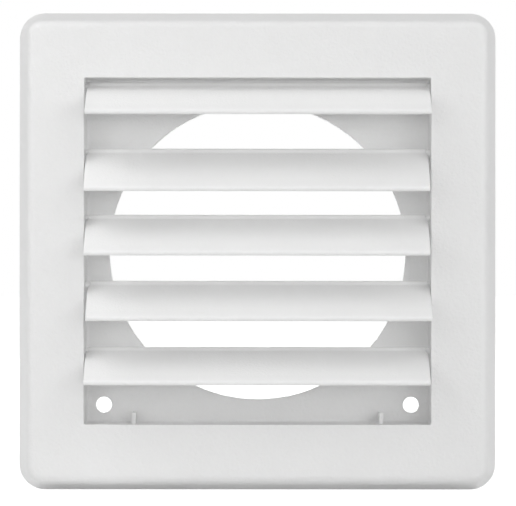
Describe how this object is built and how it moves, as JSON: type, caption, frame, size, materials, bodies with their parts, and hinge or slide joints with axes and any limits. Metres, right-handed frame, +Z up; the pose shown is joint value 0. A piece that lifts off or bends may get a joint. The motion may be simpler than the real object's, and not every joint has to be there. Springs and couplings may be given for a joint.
{
  "type": "gravity vent grille",
  "caption": "Square wall grille with hinged louvre flaps that air pushes open and gravity shuts, with a round duct spigot and screw holes in its back plate.",
  "frame": {"origin": "centre of the duct spigot in the plane of the wall, where the casing's back rim meets the wall", "axes": "+Y into the wall along the duct, so the face looks along -Y; +Z up; +X to the right as seen from the front"},
  "size_m": [0.15, 0.0508, 0.15],
  "materials": {
    "casing_plastic": "white moulded plastic with a fine satin grain",
    "flap_plastic": "white moulded plastic, smooth satin"
  },
  "bodies": {
    "casing": {"casing": "casing_plastic"},
    "flap_1": {"flap_1": "flap_plastic"},
    "flap_2": {"flap_2": "flap_plastic"},
    "flap_3": {"flap_3": "flap_plastic"},
    "flap_4": {"flap_4": "flap_plastic"},
    "flap_5": {"flap_5": "flap_plastic"}
  },
  "joints": [
    {"name": "flap_1_swing", "type": "hinge", "parent": "casing", "child": "flap_1", "pos_m": [0, -0.008, 0.0514], "axis": [-1, 0, 0], "range_deg": [-58, 17]},
    {"name": "flap_2_swing", "type": "hinge", "parent": "casing", "child": "flap_2", "pos_m": [0, -0.008, 0.03076], "axis": [-1, 0, 0], "range_deg": [-47.5, 27.5]},
    {"name": "flap_3_swing", "type": "hinge", "parent": "casing", "child": "flap_3", "pos_m": [0, -0.008, 0.01012], "axis": [-1, 0, 0], "range_deg": [-50.6, 24.4]},
    {"name": "flap_4_swing", "type": "hinge", "parent": "casing", "child": "flap_4", "pos_m": [0, -0.008, -0.01052], "axis": [-1, 0, 0], "range_deg": [-52.4, 22.6]},
    {"name": "flap_5_swing", "type": "hinge", "parent": "casing", "child": "flap_5", "pos_m": [0, -0.008, -0.03116], "axis": [-1, 0, 0], "range_deg": [-55.7, 19.3]}
  ]
}
